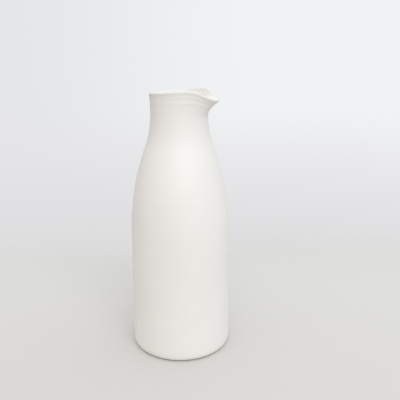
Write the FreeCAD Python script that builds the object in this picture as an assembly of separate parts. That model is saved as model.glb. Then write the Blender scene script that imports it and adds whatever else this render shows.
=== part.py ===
import FreeCAD, Part
import math
import os

from FreeCAD import Vector

# A cream jug shaped like a milk bottle: thrown in one piece, glazed, with a spout pulled out of the rim.
# Millimetres. The origin is the middle of the foot, +Z is up and the spout points along +X.

# Overall sizes
HEIGHT = 200.0  # from the table to the rim at the back
BODY_R = 38.3  # outside radius where the side ends and the shoulder starts
NECK_R = 21.4  # outside radius at the narrowest place
LIP_LENGTH = 13.6  # from the narrowest place up to the rim

# The wall
WALL = 3.6  # body, shoulder and neck
LIP_WALL = 1.9  # thinned towards the rim, which is rounded to half of this
LIP_THINNING = 5.0  # power that keeps the thinning close under the rim
FLOOR = 6.0  # from the table to the inside floor

# The thrown line, from the foot up
SIDE_LEAN = 0.6  # degrees that the side leans in as it rises
SHOULDER_BEND = 192.0  # radius of the long round shoulder
NECK_BEND = 74.0  # radius of the hollow curve into the neck
LIP_FLARE = 0.45  # how far the lip opens above the narrowest place
FLOOR_BEND = 12.0  # inside corner between floor and side

# The turned foot
FOOT_EDGE_IN = 1.8  # how far the softened outer edge runs in under the side
FOOT_EDGE_UP = 5.5  # and how far it runs up it
BEVEL_IN = 2.2  # the bevel cut under that edge, which keeps the glaze off the table
BEVEL_UP = 1.0
FOOT_WIDTH = 4.5  # the flat ring that the jug stands on
RECESS_DEPTH = 1.2  # the underside inside that ring
RECESS_BEVEL = 1.8  # width of the bevel between the two

# Finger marks under the rim, left by throwing, and the bead of the lip above them
MARK_COUNT = 2
MARK_FIRST = 2.7  # depth of the first ridge below the lip's edge
MARK_PITCH = 3.4
MARK_WIDTH = 1.15
MARK_HEIGHT = 0.2
BEAD_HEIGHT = 0.3
BEAD_WIDTH = 1.5

# The pulled spout and the rim that rises beside it. Angles in degrees, measured from the spout.
SPOUT_REACH = 8.8  # how far the lip is drawn out at the tip
SPOUT_SPREAD = 18.0  # angle over which the pull dies away round the rim
SPOUT_ROUND = 9.0  # angle over which the tip is rounded
SPOUT_DEPTH = 16.0  # how far down the neck the finger drew it out
SPOUT_CURVE = 1.7  # power of the hollow under the spout
SPOUT_DIP = 7.9  # how far the pull brings the tip down
DIP_SPREAD = 28.0
FRONT_LIFT = 3.6  # how much higher the rim stands at the front than at the back
PULL_DEPTH = 28.0  # below this the wall is still as it was thrown

# The grid of the pulled wall: one line of the section at each angle
LINES_AROUND = 60
LINES_CROWDED = 0.55  # how much closer the lines stand at the spout than on average
STEPS_OUTSIDE = 18
STEPS_LIP = 6
STEPS_INSIDE = 12
STEPS_CROWDED = 1.3  # power that brings the steps closer together towards the lip
FITTING_PASSES = 30
JOINING = 0.01  # how closely the turned body and the pulled lip have to meet

MIDDLE = Vector(0, 0, 0)
UP = Vector(0, 0, 1)


def heading(angle):
    """Unit vector in the section plane, at an angle up from +X."""
    return Vector(math.cos(angle), 0, math.sin(angle))


# Centres of the shoulder's and the neck's arcs, which touch each other and the side line.
lean = math.radians(SIDE_LEAN)
neck_centre = Vector(NECK_R + NECK_BEND, 0, HEIGHT - LIP_LENGTH)
across = neck_centre.x - BODY_R + SHOULDER_BEND * math.cos(lean)
rise = math.sqrt((SHOULDER_BEND + NECK_BEND) ** 2 - across**2)
shoulder_centre = neck_centre - Vector(across, 0, rise)
swap = math.atan2(rise, across)  # slope at which shoulder turns into neck
lip_edge = HEIGHT - LIP_WALL / 2  # where the outside of the lip starts to round over
pull_angle = math.asin((neck_centre.z - lip_edge + PULL_DEPTH) / NECK_BEND)


def side_point(inset, z):
    """The point at height z on the side line, set in from the outside by inset."""
    top = shoulder_centre + heading(lean) * (SHOULDER_BEND - inset)
    return top + Vector((top.z - z) * math.tan(lean), 0, z - top.z)


def arc(centre, radius, start, end):
    """Arc from one heading to another; a negative radius bends the other way."""
    angles = (start, (start + end) / 2, end)
    return Part.Arc(*[centre + heading(a) * radius for a in angles]).toShape()


def line(*points):
    """Straight pieces from point to point."""
    return [Part.LineSegment(a, b).toShape() for a, b in zip(points, points[1:])]


def body_line(inset, start):
    """Side, shoulder and hollow of the neck as tangent pieces, all set in by the same amount."""
    shoulder = SHOULDER_BEND - inset
    return (
        line(start, shoulder_centre + heading(lean) * shoulder)
        + [arc(shoulder_centre, shoulder, lean, swap)]
        + [arc(neck_centre, -NECK_BEND - inset, swap, pull_angle)]
    )


def foot_edge(low, high):
    """The softened edge: a quarter of an ellipse, level below and tangent to the side above."""
    corner = side_point(0, low.z)
    curve = Part.BezierCurve()
    curve.setPoles([low, corner, high])
    curve.setWeight(2, math.sqrt(0.5))
    return curve.toShape()


def outside_line():
    """From the axis under the foot, out over the standing ring, up to where the pulling starts."""
    low = side_point(0, BEVEL_UP) - Vector(FOOT_EDGE_IN, 0, 0)
    high = side_point(0, BEVEL_UP + FOOT_EDGE_UP)
    foot_r = low.x - BEVEL_IN
    ring_r = foot_r - FOOT_WIDTH
    under = [
        Vector(0, 0, RECESS_DEPTH),
        Vector(ring_r - RECESS_BEVEL, 0, RECESS_DEPTH),
        Vector(ring_r, 0, 0),
        Vector(foot_r, 0, 0),
        low,
    ]
    return line(*under) + [foot_edge(low, high)] + body_line(0, high)


def inside_line():
    """From the middle of the floor, round the corner, up to where the pulling starts."""
    corner = side_point(WALL + FLOOR_BEND, FLOOR + FLOOR_BEND)
    floor = line(Vector(0, 0, FLOOR), Vector(corner.x, 0, FLOOR))
    bend = arc(corner, FLOOR_BEND, -math.pi / 2, lean)
    return floor + [bend] + body_line(WALL, corner + heading(lean) * FLOOR_BEND)


def thrown_body():
    """Foot, body, shoulder and the start of the neck, turned in one piece with the seam at the back."""
    outside, inside = outside_line(), inside_line()
    ends = [edges[-1].valueAt(edges[-1].LastParameter) for edges in (outside, inside)]
    middle = line(Vector(0, 0, RECESS_DEPTH), Vector(0, 0, FLOOR))
    outline = Part.Wire(Part.__sortEdges__(outside + line(*ends) + inside + middle))
    body = Part.Face(outline).revolve(MIDDLE, UP, 360)
    body.rotate(MIDDLE, UP, 180)
    return body


def thrown_radius(z):
    """Outside radius of the neck and lip as thrown: the hollow arc, then a slight flare."""
    above = z - neck_centre.z
    if above < 0:
        return neck_centre.x - math.sqrt(NECK_BEND**2 - above**2)
    return NECK_R + LIP_FLARE * (above / LIP_LENGTH) ** 2


def rim_shift(theta):
    """How far the rim stands above its height at the back: a slow lift to the front, less the dip."""
    lift = FRONT_LIFT * (1 + math.cos(theta)) / 2
    return lift - SPOUT_DIP * math.exp(-((theta / math.radians(DIP_SPREAD)) ** 2))


def spout_pull(theta):
    """How far the lip is drawn out: a peak with a rounded top that dies away round the rim."""
    rounding = math.radians(SPOUT_ROUND)
    past = math.hypot(theta, rounding) - rounding
    return SPOUT_REACH * math.exp(-past / math.radians(SPOUT_SPREAD))


def wall(theta, depth):
    """The outside of the wall at a depth below the lip's edge: as thrown, then pulled."""
    shift = rim_shift(theta) * (1 - depth / PULL_DEPTH) ** 2
    drawn = max(0.0, 1 - depth / SPOUT_DEPTH) ** SPOUT_CURVE
    radius = thrown_radius(lip_edge - depth) + spout_pull(theta) * drawn
    return Vector(radius * math.cos(theta), radius * math.sin(theta), lip_edge - depth + shift)


def square_to_wall(theta, depth, step=1e-4):
    """The wall's outward normal and the direction up it, from small steps along the surface."""
    around = wall(theta + step, depth) - wall(theta - step, depth)
    up = wall(theta, depth - step) - wall(theta, depth + step)
    return around.cross(up).normalize(), up.normalize()


def relief(depth):
    """Height of the bead and the finger marks on the outside."""
    height = BEAD_HEIGHT * math.exp(-((depth / BEAD_WIDTH) ** 2))
    for k in range(MARK_COUNT):
        off = depth - MARK_FIRST - k * MARK_PITCH
        height += MARK_HEIGHT * math.exp(-((off / MARK_WIDTH) ** 2))
    return height


def thickness(depth):
    """Wall thickness, eased from the lip's to the body's."""
    return WALL - (WALL - LIP_WALL) * (1 - depth / PULL_DEPTH) ** LIP_THINNING


def section(theta):
    """One line of the pulled wall: up the outside, over the rounded lip and down the inside."""
    points = []
    for k in range(STEPS_OUTSIDE + 1):
        depth = PULL_DEPTH * (1 - k / STEPS_OUTSIDE) ** STEPS_CROWDED
        out, up = square_to_wall(theta, depth)
        points.append(wall(theta, depth) + out * relief(depth))
    out, up = square_to_wall(theta, 0)
    outer = points[-1]
    inner = wall(theta, 0) - out * LIP_WALL
    middle = (outer + inner) / 2
    half = (outer - inner).Length / 2
    for k in range(1, STEPS_LIP):
        turn = math.pi * k / STEPS_LIP
        points.append(middle + out * half * math.cos(turn) + up * half * math.sin(turn))
    for k in range(STEPS_INSIDE + 1):
        depth = PULL_DEPTH * (k / STEPS_INSIDE) ** STEPS_CROWDED
        out, up = square_to_wall(theta, depth)
        points.append(wall(theta, depth) - out * thickness(depth))
    return points


def fitted_surface(points):
    """A cubic surface through a grid of points, closed round the rim, with one pole for each point.

    Each pass moves every pole by what the surface still misses its point by.
    """
    lines, steps = len(points), len(points[0])
    spans = steps - 3
    knots_around = list(range(lines + 1))
    knots_along = list(range(spans + 1))
    end_to_end = [0] * 3 + knots_along + [spans] * 3
    along = [sum(end_to_end[k + 1 : k + 4]) / 3 for k in range(steps)]
    shape = ([1] * (lines + 1), [4] + [1] * (spans - 1) + [4], knots_around, knots_along, True, False, 3, 3)
    surface = Part.BSplineSurface()
    poles = [list(row) for row in points]
    for _ in range(FITTING_PASSES):
        surface.buildFromPolesMultsKnots(poles[-1:] + poles[:-1], *shape)
        for i, row in enumerate(poles):
            for j in range(steps):
                row[j] = row[j] + points[i][j] - surface.value(i, along[j])
    return surface


def pulled_lip():
    """The rest of the wall, with its lip and spout: a skin over the section lines, closed below by a ring."""
    turns = [math.pi * (2 * k / LINES_AROUND - 1) for k in range(LINES_AROUND)]
    skin = fitted_surface([section(u - LINES_CROWDED * math.sin(u)) for u in turns]).toShape()
    outer, inner = [edge for edge in skin.Edges if edge.Closed]
    lip = Part.Solid(Part.Shell([skin, Part.makeRuledSurface(outer, inner)]))
    if lip.Volume < 0:
        lip.reverse()
    return lip


os.makedirs("parts", exist_ok=True)
jug = thrown_body().fuse(pulled_lip(), JOINING).Solids[0]
jug.exportStep("parts/jug.step")
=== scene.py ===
import math

import bpy
import numpy as np
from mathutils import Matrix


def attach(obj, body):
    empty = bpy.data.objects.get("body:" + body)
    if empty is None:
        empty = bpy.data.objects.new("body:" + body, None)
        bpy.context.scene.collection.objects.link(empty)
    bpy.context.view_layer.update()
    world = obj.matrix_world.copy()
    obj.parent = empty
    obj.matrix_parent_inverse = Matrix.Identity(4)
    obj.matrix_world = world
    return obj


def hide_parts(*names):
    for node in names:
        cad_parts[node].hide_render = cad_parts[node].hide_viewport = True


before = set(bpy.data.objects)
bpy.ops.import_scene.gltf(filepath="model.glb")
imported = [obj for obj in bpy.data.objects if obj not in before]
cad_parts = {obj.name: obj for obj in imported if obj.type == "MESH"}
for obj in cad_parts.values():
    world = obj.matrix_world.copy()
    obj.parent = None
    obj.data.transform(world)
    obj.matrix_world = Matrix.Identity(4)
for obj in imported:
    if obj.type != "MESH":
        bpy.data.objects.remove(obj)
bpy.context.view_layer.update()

# ---------------------------------------------------------------------------------------------
# The jug: pale stoneware thrown on a wheel in one piece, its foot turned and its lip drawn out
# into a spout with one finger while the clay was soft, then dipped in a cream satin glaze that
# is wiped off the ring it stands on. Sizes are in millimetres.

HEIGHT = 200.0
BODY_R = 38.3
NECK_R = 21.4
LIP_LENGTH = 13.6
WALL = 3.6
LIP_WALL = 1.9
LIP_THINNING = 5.0  # the power by which the wall thins towards the lip
FLOOR = 6.0
SIDE_LEAN = math.radians(0.6)
SHOULDER_BEND = 192.0
NECK_BEND = 74.0
LIP_FLARE = 0.45
FLOOR_BEND = 12.0

FOOT_EDGE_IN = 1.8
FOOT_EDGE_UP = 5.5
BEVEL_IN = 2.2
BEVEL_UP = 1.0
FOOT_WIDTH = 4.5
RECESS_DEPTH = 1.2
RECESS_BEVEL = 1.8
RING_ROUND = 0.5  # how far the turned edges of the foot ring are softened

BEAD_HEIGHT = 0.3
BEAD_WIDTH = 1.5
MARKS = (2.7, 6.1)  # depths of the two ridges between finger marks, below the lip's edge
MARK_WIDTH = 1.15
MARK_HEIGHT = 0.2
MARKS_DEEPEST = math.radians(-45)  # where round the neck the ridges stand highest
MARKS_LEAST = 0.2  # share of their height that is left opposite
MARKS_FADE = 4  # the power by which they fade

SPOUT_REACH = 8.8
SPOUT_SPREAD = math.radians(18)
SPOUT_ROUND = math.radians(9)
SPOUT_DEPTH = 16.0
SPOUT_CURVE = 1.7
SPOUT_DIP = 7.9
DIP_SPREAD = math.radians(28)
FRONT_LIFT = 3.6
PULL_DEPTH = 28.0

THROWN_RINGS = 0.035  # height of the faint spiral that the fingers leave up the wall
RING_PITCH = 6.5
RINGS_FROM = 12.0
RINGS_END = HEIGHT - 30.0
RINGS_FADE = 25.0
OUT_OF_ROUND = 0.16
OVAL = (0.9, 70.0)  # the phase of its waves, and the rise that turns them by one radian
THREE_SIDED = (-1.7, -45.0)
THREE_SIDED_SHARE = 0.5
TRUE_BELOW = 30.0  # from the foot up to here the wall goes out of round little by little
MM = 0.001

# The neck's hollow arc, and the shoulder's arc, which touches it and the side line.
neck_r, neck_z = NECK_R + NECK_BEND, HEIGHT - LIP_LENGTH
across = neck_r - BODY_R + SHOULDER_BEND * math.cos(SIDE_LEAN)
rise = math.sqrt((SHOULDER_BEND + NECK_BEND) ** 2 - across**2)
shoulder_r, shoulder_z = neck_r - across, neck_z - rise
side_top_r = shoulder_r + SHOULDER_BEND * math.cos(SIDE_LEAN)
side_top_z = shoulder_z + SHOULDER_BEND * math.sin(SIDE_LEAN)
swap_z = shoulder_z + SHOULDER_BEND * rise / (SHOULDER_BEND + NECK_BEND)
lip_edge = HEIGHT - LIP_WALL / 2


def side_radius(z, inset=0.0):
    """The straight side at height z: its top radius, plus the lean times the way down to z."""
    top = side_top_r - inset * math.cos(SIDE_LEAN)
    return top + (side_top_z - inset * math.sin(SIDE_LEAN) - z) * math.tan(SIDE_LEAN)


def thrown_radius(z):
    """Outside radius at height z: the side line, the shoulder's circle, the neck's circle from
    outside, then a lip that opens with the square of its height."""
    shoulder = shoulder_r + np.sqrt(np.maximum(SHOULDER_BEND**2 - (z - shoulder_z) ** 2, 0))
    neck = neck_r - np.sqrt(np.maximum(NECK_BEND**2 - (z - neck_z) ** 2, 0))
    lip = NECK_R + LIP_FLARE * ((z - neck_z) / LIP_LENGTH) ** 2
    zones = [z < side_top_z, z < swap_z, z < neck_z]
    return np.select(zones, [side_radius(z), shoulder, neck], lip)


def rim_shift(theta):
    """Rise of the rim round the mouth: half of one plus the cosine, less a bell at the spout."""
    lift = FRONT_LIFT * (1 + np.cos(theta)) / 2
    return lift - SPOUT_DIP * np.exp(-((theta / DIP_SPREAD) ** 2))


def spout_pull(theta):
    """Reach of the spout round the mouth: it falls by a fixed share with each step of angle, and
    the tip is rounded by the hypotenuse of the angle and a small fixed one."""
    past = np.hypot(theta, SPOUT_ROUND) - SPOUT_ROUND
    return SPOUT_REACH * np.exp(-past / SPOUT_SPREAD)


def uneven(theta, z):
    """What hands leave on the outside: the wall is slightly out of round, by waves that turn as
    they rise, with a faint spiral ridge that dies away at foot and rim."""
    oval = np.cos(2 * theta + OVAL[0] + z / OVAL[1])
    three_sided = np.cos(3 * theta + THREE_SIDED[0] + z / THREE_SIDED[1])
    waves = oval + THREE_SIDED_SHARE * three_sided
    loose = np.clip(z / TRUE_BELOW, 0, 1)
    spiral = np.cos(2 * math.pi * z / RING_PITCH + theta)
    start = np.clip((z - RINGS_FROM) / RINGS_FADE, 0, 1)
    fade = start * np.clip((RINGS_END - z) / RINGS_FADE, 0, 1)
    return OUT_OF_ROUND * waves * loose + THROWN_RINGS * spiral * fade


def lathe(radius, height, theta):
    """A circle of each radius at each height: radius times cosine and sine of theta, height."""
    radius, height, theta = np.broadcast_arrays(radius, height, theta)
    return np.stack([radius * np.cos(theta), radius * np.sin(theta), height], axis=-1)


def wall(theta, z):
    """Outside of the wall before its relief: the thrown radius plus the spout's pull, which grows
    from its depth to the lip by a power, at z plus the rim's shift, which grows by the square."""
    depth = lip_edge - z
    drawn = np.maximum(0, 1 - depth / SPOUT_DEPTH) ** SPOUT_CURVE
    shift = rim_shift(theta) * np.maximum(0, 1 - depth / PULL_DEPTH) ** 2
    radius = thrown_radius(z) + uneven(theta, z) + spout_pull(theta) * drawn
    return lathe(radius, z + shift, theta)


def unit(vectors):
    """Each vector divided by its length."""
    return vectors / np.linalg.norm(vectors, axis=-1, keepdims=True)


def square_to_wall(theta, z, step=1e-3):
    """The wall's outward normal and the way up it: the cross product of two small steps along
    the surface, one round and one up, and the step up by itself."""
    around = wall(theta + step, z) - wall(theta - step, z)
    up = wall(theta, z + step) - wall(theta, z - step)
    return unit(np.cross(around, up)), unit(up)


def relief(theta, z):
    """The bead under the lip and the ridges between the finger marks: a bell curve for each, and
    the ridges fade round the neck by the fourth power of half of one plus the cosine."""
    depth = lip_edge - z
    facing = (0.5 + 0.5 * np.cos(theta - MARKS_DEEPEST)) ** MARKS_FADE
    pressed = MARKS_LEAST + (1 - MARKS_LEAST) * facing
    ridges = sum(np.exp(-(((depth - mark) / MARK_WIDTH) ** 2)) for mark in MARKS)
    return BEAD_HEIGHT * np.exp(-((depth / BEAD_WIDTH) ** 2)) + MARK_HEIGHT * pressed * ridges


def thickness(z):
    """The wall, thinned close under the lip by a power of the height in the pulled part."""
    share = np.maximum(0, 1 - (lip_edge - z) / PULL_DEPTH)
    return WALL - (WALL - LIP_WALL) * share**LIP_THINNING


def skin(theta, z, share):
    """The wall's face: share 0 is the outside with its relief, 1 the inside, and between them a
    half circle over the lip, by the cosine along the normal and the sine up the wall."""
    out, up = square_to_wall(theta, z)
    outer, inner = relief(theta, z), -thickness(z)
    middle, half = (outer + inner) / 2, (outer - inner) / 2
    turn = math.pi * share
    over = out * (middle + half * np.cos(turn))[..., None] + up * (half * np.sin(turn))[..., None]
    return wall(theta, z) + over


GLAZE_DRAG = 1.3  # how far down from the lip's edge the glaze is thin
RIDGE_DRAG = 0.12  # how thin it is on a ridge, where 1 is on the lip


def thinness(z, share):
    """How thin the glaze has run: over the lip by a bell of the depth that the sine of the turn
    raises to 1, and a little on each ridge of the outside by a bell of its own."""
    depth = lip_edge - z
    lip = np.exp(-((depth / GLAZE_DRAG) ** 2)) * (0.5 + 0.5 * np.sin(math.pi * share))
    ridges = sum(np.exp(-(((depth - mark) / MARK_WIDTH) ** 2)) for mark in MARKS)
    return lip + RIDGE_DRAG * ridges * (share == 0)


INNERMOST = 2.5  # radius of the rows nearest the axis
FLAT_ENDS = 2.0  # how far the rows of a flat keep from its corner
STANDING_IN, STANDING_OUT = 1.4, 1.2  # the same for those of the standing ring


def rounded(corner, before, after, steps=5):
    """A corner softened by a parabola: the weighted mean of two points and the corner, with
    weights of (1-t) squared, t squared and 2t(1-t)."""
    t = np.linspace(0, 1, steps)[:, None]
    before, corner, after = (np.array(p, float) for p in (before, corner, after))
    return (1 - t) ** 2 * before + 2 * t * (1 - t) * corner + t**2 * after


def foot_line():
    """Radius and height from near the axis, out under the recess, over the ring and up the bevel,
    to the side: straight runs with softened corners, then a quarter of an ellipse."""
    edge_r = side_radius(BEVEL_UP) - FOOT_EDGE_IN
    foot_r = edge_r - BEVEL_IN
    ring_r = foot_r - FOOT_WIDTH
    recess_r = ring_r - RECESS_BEVEL
    slope = np.array([RECESS_BEVEL, -RECESS_DEPTH]) / math.hypot(RECESS_BEVEL, RECESS_DEPTH)
    flat = [[r, RECESS_DEPTH] for r in np.linspace(INNERMOST, recess_r - FLAT_ENDS, 10)]
    recess, ring = np.array([recess_r, RECESS_DEPTH]), np.array([ring_r, 0.0])
    inner = rounded(recess, recess - (RING_ROUND, 0), recess + RING_ROUND * slope)
    outer = rounded(ring, ring - RING_ROUND * slope, ring + (RING_ROUND, 0))
    standing = [[r, 0.0] for r in np.linspace(ring_r + STANDING_IN, foot_r - STANDING_OUT, 3)]
    rise = np.array([BEVEL_IN, BEVEL_UP]) / math.hypot(BEVEL_IN, BEVEL_UP)
    foot = np.array([foot_r, 0.0])
    heel = rounded(foot, foot - (RING_ROUND, 0), foot + RING_ROUND * rise)
    turn = np.linspace(0, math.pi / 2, 18)[:-1]
    lean_out = side_radius(BEVEL_UP) - side_radius(BEVEL_UP + FOOT_EDGE_UP)
    edge = np.stack(
        [
            edge_r + FOOT_EDGE_IN * np.sin(turn) - lean_out * (1 - np.cos(turn)),
            BEVEL_UP + FOOT_EDGE_UP * (1 - np.cos(turn)),
        ],
        axis=1,
    )
    return np.concatenate([flat, inner, outer, standing, heel, edge])


def floor_line():
    """Radius and height of the inside, from the side round the corner to near the axis: a
    quarter circle, then a flat run."""
    corner_z = FLOOR + FLOOR_BEND
    corner_r = side_radius(corner_z, WALL + FLOOR_BEND)
    turn = np.linspace(SIDE_LEAN, -math.pi / 2, 14)[1:]
    bend_r, bend_z = corner_r + FLOOR_BEND * np.cos(turn), corner_z + FLOOR_BEND * np.sin(turn)
    flat = [[r, FLOOR] for r in np.linspace(corner_r - FLAT_ENDS, INNERMOST, 9)]
    return np.concatenate([np.stack([bend_r, bend_z], axis=1), flat])


COLUMNS = 336
CROWDED = 0.55  # how much closer the columns stand at the spout than on average
LIP_ROWS = 13
OUTSIDE_ROWS = (20, 40, 64)  # on the side, on the shoulder and in the pulled part
INSIDE_ROWS = (34, 26, 12)  # the same places, on the way down
ROWS_CLIMB, ROWS_DROP = 1.15, 1.3  # powers that bring the rows closer together at the lip
FLOOR_GAP = 0.2  # between the wall's last row and the floor's corner

around = np.linspace(-math.pi, math.pi, COLUMNS, endpoint=False)
theta = (around - CROWDED * np.sin(around))[None, :]

pull_z = lip_edge - PULL_DEPTH
outside_z = np.concatenate(
    [
        np.linspace(BEVEL_UP + FOOT_EDGE_UP, side_top_z, OUTSIDE_ROWS[0], endpoint=False),
        np.linspace(side_top_z, pull_z, OUTSIDE_ROWS[1], endpoint=False),
        lip_edge - PULL_DEPTH * np.linspace(1, 0, OUTSIDE_ROWS[2]) ** ROWS_CLIMB,
    ]
)
inside_z = np.concatenate(
    [
        lip_edge - PULL_DEPTH * np.linspace(0, 1, INSIDE_ROWS[0], endpoint=False) ** ROWS_DROP,
        np.linspace(pull_z, side_top_z, INSIDE_ROWS[1], endpoint=False),
        np.linspace(side_top_z, FLOOR + FLOOR_BEND + FLOOR_GAP, INSIDE_ROWS[2]),
    ]
)
lip_share = np.linspace(0, 1, LIP_ROWS + 2)[1:-1]
heights = np.concatenate([outside_z, np.full(LIP_ROWS, lip_edge), inside_z])[:, None]
shares = np.concatenate([outside_z * 0, lip_share, inside_z * 0 + 1])[:, None]

foot, floor = foot_line(), floor_line()
rows = np.concatenate(
    [
        lathe(foot[:, :1], foot[:, 1:], theta),
        skin(theta, heights, shares),
        lathe(floor[:, :1], floor[:, 1:], theta),
    ]
)


def closed_mesh(name, rows, first, last):
    """A tube of rows, each closed on itself, with a fan of triangles to a point at each end. A
    face joins corner (i, j) to (i, j+1), (i+1, j+1) and (i+1, j), counted round each row."""
    count, columns = rows.shape[:2]
    points = np.concatenate([rows.reshape(-1, 3), [first, last]]) * MM
    i, j = np.meshgrid(np.arange(count - 1), np.arange(columns), indexing="ij")
    here, there = i * columns + j, i * columns + (j + 1) % columns
    quads = np.stack([here, there, there + columns, here + columns], axis=-1).reshape(-1, 4)
    j = np.arange(columns)
    beside = (j + 1) % columns
    end = (count - 1) * columns
    fan_in = np.stack([np.full(columns, count * columns), beside, j], axis=-1)
    fan_out = np.stack([np.full(columns, count * columns + 1), end + j, end + beside], axis=-1)
    mesh = bpy.data.meshes.new(name)
    mesh.from_pydata(points, [], [*quads.tolist(), *fan_in.tolist(), *fan_out.tolist()])
    mesh.polygons.foreach_set("use_smooth", np.ones(len(mesh.polygons), bool))
    mesh.update()
    return mesh


under = (0, 0, RECESS_DEPTH)
inside = (0, 0, FLOOR)
jug = bpy.data.objects.new("glazed_jug", closed_mesh("glazed_jug", rows, under, inside))
bpy.context.collection.objects.link(jug)


def store(name, foot_value, wall_values, floor_value):
    """A value for each point of the mesh, from one for each row: the foot's rows share one value
    and the floor's rows another, and the two points on the axis follow them."""
    foot_values, floor_values = np.full(len(foot), foot_value), np.full(len(floor), floor_value)
    by_row = np.concatenate([foot_values, wall_values, floor_values])
    values = np.concatenate([np.repeat(by_row, COLUMNS), [foot_value, floor_value]])
    jug.data.attributes.new(name, "FLOAT", "POINT").data.foreach_set("value", values)


# How thin the glaze is, and how far a point is over the lip and inside: 0 up to its crest.
store("thin_glaze", 0, thinness(heights, shares)[:, 0], 0)
store("inside", 0, np.maximum(0, 2 * shares[:, 0] - 1), 1)


class Signal:
    """A node's output, which arithmetic turns into more Math nodes of the same tree."""

    def __init__(self, tree, socket):
        self.tree, self.socket = tree, socket

    def math(self, operation, *numbers):
        return self.tree.add("ShaderNodeMath", {"operation": operation}, dict(enumerate(numbers)))

    def __add__(self, other):
        return self.math("ADD", self, other)

    def __sub__(self, other):
        return self.math("SUBTRACT", self, other)

    def __rsub__(self, other):
        return self.math("SUBTRACT", other, self)

    def __mul__(self, other):
        return self.math("MULTIPLY", self, other)

    def __truediv__(self, other):
        return self.math("DIVIDE", self, other)

    __radd__ = __add__
    __rmul__ = __mul__


class Recipe:
    """The node tree of a finish or of the world."""

    def __init__(self, owner):
        owner.use_nodes = True
        self.nodes, self.links = owner.node_tree.nodes, owner.node_tree.links
        self.nodes.clear()

    def add(self, kind, settings, sockets, output=0):
        """A node of that kind: its settings first, then a value or a link for each socket."""
        node = self.nodes.new(kind)
        for name, value in settings.items():
            if name == "stops":
                for k, (place, colour) in enumerate(value):
                    stops = node.color_ramp.elements
                    stop = stops[k] if k < 2 else stops.new(place)
                    stop.position, stop.color = place, colour
            else:
                setattr(node, name, value)
        for name, value in sockets.items():
            if isinstance(value, Signal):
                self.links.new(value.socket, node.inputs[name])
            else:
                node.inputs[name].default_value = value
        return Signal(self, node.outputs[output]) if node.outputs else node

    def between(self, value, low, high):
        """0 below low, 1 above high, and a smooth step between them."""
        settings = {"interpolation_type": "SMOOTHSTEP"}
        ends = {"From Min": low, "From Max": high}
        return self.add("ShaderNodeMapRange", settings, {"Value": value, **ends})

    def noise(self, place, scale, detail=2.0, roughness=0.5):
        """Cloudy values round 0.5, with this many lumps to the metre."""
        sockets = {"Vector": place, "Scale": scale, "Detail": detail, "Roughness": roughness}
        return self.add("ShaderNodeTexNoise", {}, sockets)

    def mix(self, share, one, other):
        """One colour turning into the other as share goes from 0 to 1."""
        settings = {"data_type": "RGBA"}
        return self.add("ShaderNodeMix", settings, {0: share, 6: one, 7: other}, output=2)


def paint(*levels):
    """A colour written as 0-255 display levels, as linear light, opaque."""
    x = np.array(levels) / 255
    linear = np.where(x > 0.04045, ((x + 0.055) / 1.055) ** 2.4, x / 12.92)
    return (*linear.tolist(), 1.0)


CREAM = paint(236, 233, 228)
CREAM_THICK = paint(239, 236, 231)
CREAM_THIN = paint(225, 223, 217)
# Inside, the glaze is lighter: partly thicker where it was poured, and partly painted light that
# lifts the shade in the jug's hollow and spout.
CREAM_INSIDE_POURED_AND_PAINTED_LIGHT = paint(246, 244, 240)
BISCUIT = paint(205, 191, 168)

GLAZE_LINE = (0.35, 0.5)  # height at which the bare clay ends, in millimetres
GLAZE_WAVER = 0.8
WAVERS = 60  # this and the next four are lumps to the metre
POOLS = 24
PEEL_LUMPS = 300
FINE_LINES = 900
GRAINS = 2600
DRAWN_ROUND = (0.02, 0.02, 1)  # what draws lumps out round the wall, into lines
PEEL_DEPTH, LINE_DEPTH, GRAIN_DEPTH = 0.020, 0.012, 0.030
SATIN = 0.46
COAT = 0.06

glaze = bpy.data.materials.new("cream_satin_glaze")
recipe = Recipe(glaze)
place = recipe.add("ShaderNodeTexCoord", {}, {}, output=3)
high = recipe.add("ShaderNodeSeparateXYZ", {}, {"Vector": place}, output=2) / MM
thin = recipe.add("ShaderNodeAttribute", {"attribute_name": "thin_glaze"}, {}, output=2)
poured_glaze_and_painted_light = recipe.add("ShaderNodeAttribute", {"attribute_name": "inside"}, {}, output=2)

# The bare clay ends at a wavering line on the bevel under the foot.
waver = GLAZE_WAVER * recipe.noise(place, WAVERS)
bare = 1 - recipe.between(high - waver, *GLAZE_LINE)
pooling = recipe.between(recipe.noise(place, POOLS), 0.3, 0.7)
# The inside's lighter colour is partly thicker poured glaze and partly painted light on the
# shaded hollow.
colour = recipe.mix(poured_glaze_and_painted_light, recipe.mix(pooling, CREAM, CREAM_THICK), CREAM_INSIDE_POURED_AND_PAINTED_LIGHT)
colour = recipe.mix(thin, colour, CREAM_THIN)
colour = recipe.mix(bare, colour, BISCUIT)

# Heights in millimetres: the glaze's orange peel, the fingers' fine lines, and the clay's grain.
times = {"operation": "MULTIPLY"}
streaked = recipe.add("ShaderNodeVectorMath", times, {0: place, 1: DRAWN_ROUND})
peel = PEEL_DEPTH * recipe.noise(place, PEEL_LUMPS)
lines = LINE_DEPTH * recipe.noise(streaked, FINE_LINES, 3.0)
grain = GRAIN_DEPTH * bare * recipe.noise(place, GRAINS, 3.0, 0.6)
bump = {"Height": peel + lines + grain, "Distance": MM, "Strength": 1.0}

shader = recipe.add(
    "ShaderNodeBsdfPrincipled",
    {},
    {
        "Base Color": colour,
        "Roughness": SATIN + 0.06 * pooling + 0.08 * thin + 0.36 * bare,
        "IOR": 1.45,
        "Coat Weight": COAT - COAT * bare,
        "Coat Roughness": 0.25,
        "Normal": recipe.add("ShaderNodeBump", {}, bump),
    },
)
recipe.add("ShaderNodeOutputMaterial", {}, {"Surface": shader})
jug.data.materials.append(glaze)

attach(jug, "root")
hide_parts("jug")

# ---------------------------------------------------------------------------------------------
# The table: a round of pale matt card under the jug, which thins out to nothing before its edge
# so that it runs into the room behind it. Its colour is a little lighter at the back, which is
# painted light.

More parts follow.
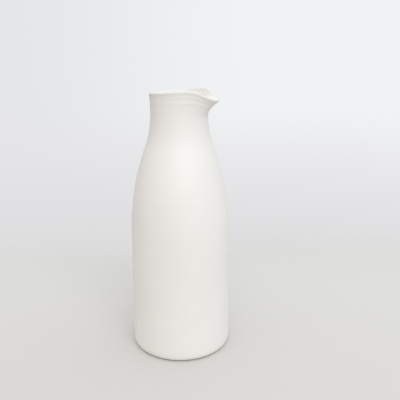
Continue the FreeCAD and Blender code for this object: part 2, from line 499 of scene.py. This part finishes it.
CARD_R = 0.8  # from here on, sizes are in metres
CARD_TURN = math.radians(25)
# The card's near and far tones: the step from one to the other is painted light.
CARD_NEAR = paint(202, 199, 194)
CARD_FAR = paint(211, 209, 205)
CARD_PAINTED_LIGHT_SPAN = (-0.2, 0.12)  # these two from the jug's middle towards the back
CARD_ENDS_BEHIND = (0.13, 0.24)
CARD_ENDS_ROUND = (0.45, 0.78)  # from the jug's middle outwards

card_around = np.linspace(0, 2 * math.pi, 96, endpoint=False)
card_points = lathe(CARD_R, 0.0, card_around)
card_mesh = bpy.data.meshes.new("card")
card_mesh.from_pydata(card_points, [], [list(range(len(card_points)))])
card = bpy.data.objects.new("card", card_mesh)
bpy.context.collection.objects.link(card)

card_finish = bpy.data.materials.new("matt_card")
recipe = Recipe(card_finish)
place = recipe.add("ShaderNodeTexCoord", {}, {}, output=3)
away = (-math.sin(CARD_TURN), math.cos(CARD_TURN), 0)
behind = recipe.add("ShaderNodeVectorMath", {"operation": "DOT_PRODUCT"}, {0: place, 1: away}, 1)
# Painted light: the card is darker towards the front and lighter towards the back.
painted_light_tone = recipe.mix(recipe.between(behind, *CARD_PAINTED_LIGHT_SPAN), CARD_NEAR, CARD_FAR)
matt = {"Base Color": painted_light_tone, "Roughness": 1.0, "Specular IOR Level": 0.0}
shader = recipe.add("ShaderNodeBsdfPrincipled", {}, matt)
clear = recipe.add("ShaderNodeBsdfTransparent", {}, {})
outwards = recipe.add("ShaderNodeVectorMath", {"operation": "LENGTH"}, {0: place}, output=1)
end_behind = recipe.between(behind, *CARD_ENDS_BEHIND)
edge = end_behind.math("MAXIMUM", end_behind, recipe.between(outwards, *CARD_ENDS_ROUND))
surface = recipe.add("ShaderNodeMixShader", {}, {0: edge, 1: shader, 2: clear})
recipe.add("ShaderNodeOutputMaterial", {}, {"Surface": surface})
card.data.materials.append(card_finish)

# ---------------------------------------------------------------------------------------------
# The room: a pale backdrop, which the camera and the gloss see, lit by daylight from overhead
# that is weaker and warmer on the left, and by one large soft window in front.

ROOM_TURN = math.radians(22.7)  # the backdrop's right-hand direction, turned from +X

BACKDROP_LEFT = [
    (0.13, paint(220, 220, 221)),
    (0.22, paint(224, 224, 226)),
    (0.32, paint(229, 229, 231)),
    (0.45, paint(229, 230, 232)),
    (1.0, paint(229, 230, 233)),
]
BACKDROP_RIGHT = [
    (0.13, paint(220, 220, 220)),
    (0.22, paint(227, 226, 229)),
    (0.31, paint(234, 234, 236)),
    (0.39, paint(240, 242, 243)),
    (1.0, paint(241, 243, 244)),
]
SKY_TOP = (1.09, 1.11, 1.14, 1.0)
SKY_LEFT = (0.24, 0.15, 0.07, 1.0)
SKY_RIGHT = (0.49, 0.55, 0.61, 1.0)
GROUND = (0.22, 0.21, 0.20, 1.0)

# Where one turns into the other: left to right across the room, and up from the horizon.
BACKDROP_CHANGES = (-0.36, 0.12)
SKY_CHANGES = (-1.0, 0.4)
SKY_CLIMBS = (0.0, 0.7)
GROUND_ENDS = (-0.05, 0.0)

world = bpy.data.worlds.new("room")
bpy.context.scene.world = world
recipe = Recipe(world)
direction = recipe.add("ShaderNodeTexCoord", {}, {}, output=0)
dot = {"operation": "DOT_PRODUCT"}
right = (math.cos(ROOM_TURN), math.sin(ROOM_TURN), 0)
up = recipe.add("ShaderNodeVectorMath", dot, {0: direction, 1: (0, 0, 1)}, output=1)
across = recipe.add("ShaderNodeVectorMath", dot, {0: direction, 1: right}, output=1)

climb = up + 0.5  # the horizon stands at the middle of both ramps
left_view = recipe.add("ShaderNodeValToRGB", {"stops": BACKDROP_LEFT}, {0: climb})
right_view = recipe.add("ShaderNodeValToRGB", {"stops": BACKDROP_RIGHT}, {0: climb})
seen = recipe.mix(recipe.between(across, *BACKDROP_CHANGES), left_view, right_view)

horizon = recipe.mix(recipe.between(across, *SKY_CHANGES), SKY_LEFT, SKY_RIGHT)
daylight = recipe.mix(recipe.between(up, *SKY_CLIMBS), horizon, SKY_TOP)
light = recipe.mix(recipe.between(up, *GROUND_ENDS), GROUND, daylight)

path = recipe.add("ShaderNodeLightPath", {}, {})
rays = {socket.name: Signal(recipe, socket) for socket in path.socket.node.outputs}
looked_at = rays["Is Camera Ray"].math("MAXIMUM", rays["Is Camera Ray"], rays["Is Glossy Ray"])
looked_at = looked_at.math("MAXIMUM", looked_at, rays["Is Transmission Ray"])
view = {"Color": recipe.mix(looked_at, light, seen), "Strength": 1.0}
background = recipe.add("ShaderNodeBackground", {}, view)
recipe.add("ShaderNodeOutputWorld", {}, {"Surface": background})

# The window, aimed at the middle of the jug.
WINDOW_SIZE = 0.7
WINDOW_AWAY = 0.9
WINDOW_TURN = math.radians(38)
WINDOW_UP = math.radians(38)
WINDOW_POWER = 2.9
WINDOW_AIM = 0.1

window = bpy.data.lights.new("window", "AREA")
window.shape = "SQUARE"
window.size = WINDOW_SIZE
window.energy = WINDOW_POWER
lamp = bpy.data.objects.new("window", window)
lamp.location = (
    WINDOW_AWAY * math.cos(WINDOW_UP) * math.sin(WINDOW_TURN),
    -WINDOW_AWAY * math.cos(WINDOW_UP) * math.cos(WINDOW_TURN),
    WINDOW_AWAY * math.sin(WINDOW_UP) + WINDOW_AIM,
)
lamp.rotation_euler = (math.pi / 2 - WINDOW_UP, 0, WINDOW_TURN)
bpy.context.collection.objects.link(lamp)

# ---------------------------------------------------------------------------------------------
# The camera: a little above the rim, to the right of the side where the spout points right. It
# looks slightly past the jug, which stands to the left of the middle.

CAMERA_TURN = math.radians(25)
CAMERA_AWAY = 1.911 * HEIGHT * MM
CAMERA_HEIGHT = 1.147 * HEIGHT * MM
CAMERA_DOWN = math.radians(16.19)
CAMERA_ASIDE = math.radians(2.31)
LENS = 46.08

lens = bpy.data.cameras.new("camera")
lens.lens = LENS
lens.sensor_width = 36
camera = bpy.data.objects.new("camera", lens)
camera.location = (
    CAMERA_AWAY * math.sin(CAMERA_TURN),
    -CAMERA_AWAY * math.cos(CAMERA_TURN),
    CAMERA_HEIGHT,
)
camera.rotation_euler = (math.pi / 2 - CAMERA_DOWN, 0, CAMERA_TURN - CAMERA_ASIDE)
bpy.context.collection.objects.link(camera)
bpy.context.scene.camera = camera

bpy.context.scene.view_settings.view_transform = "Standard"
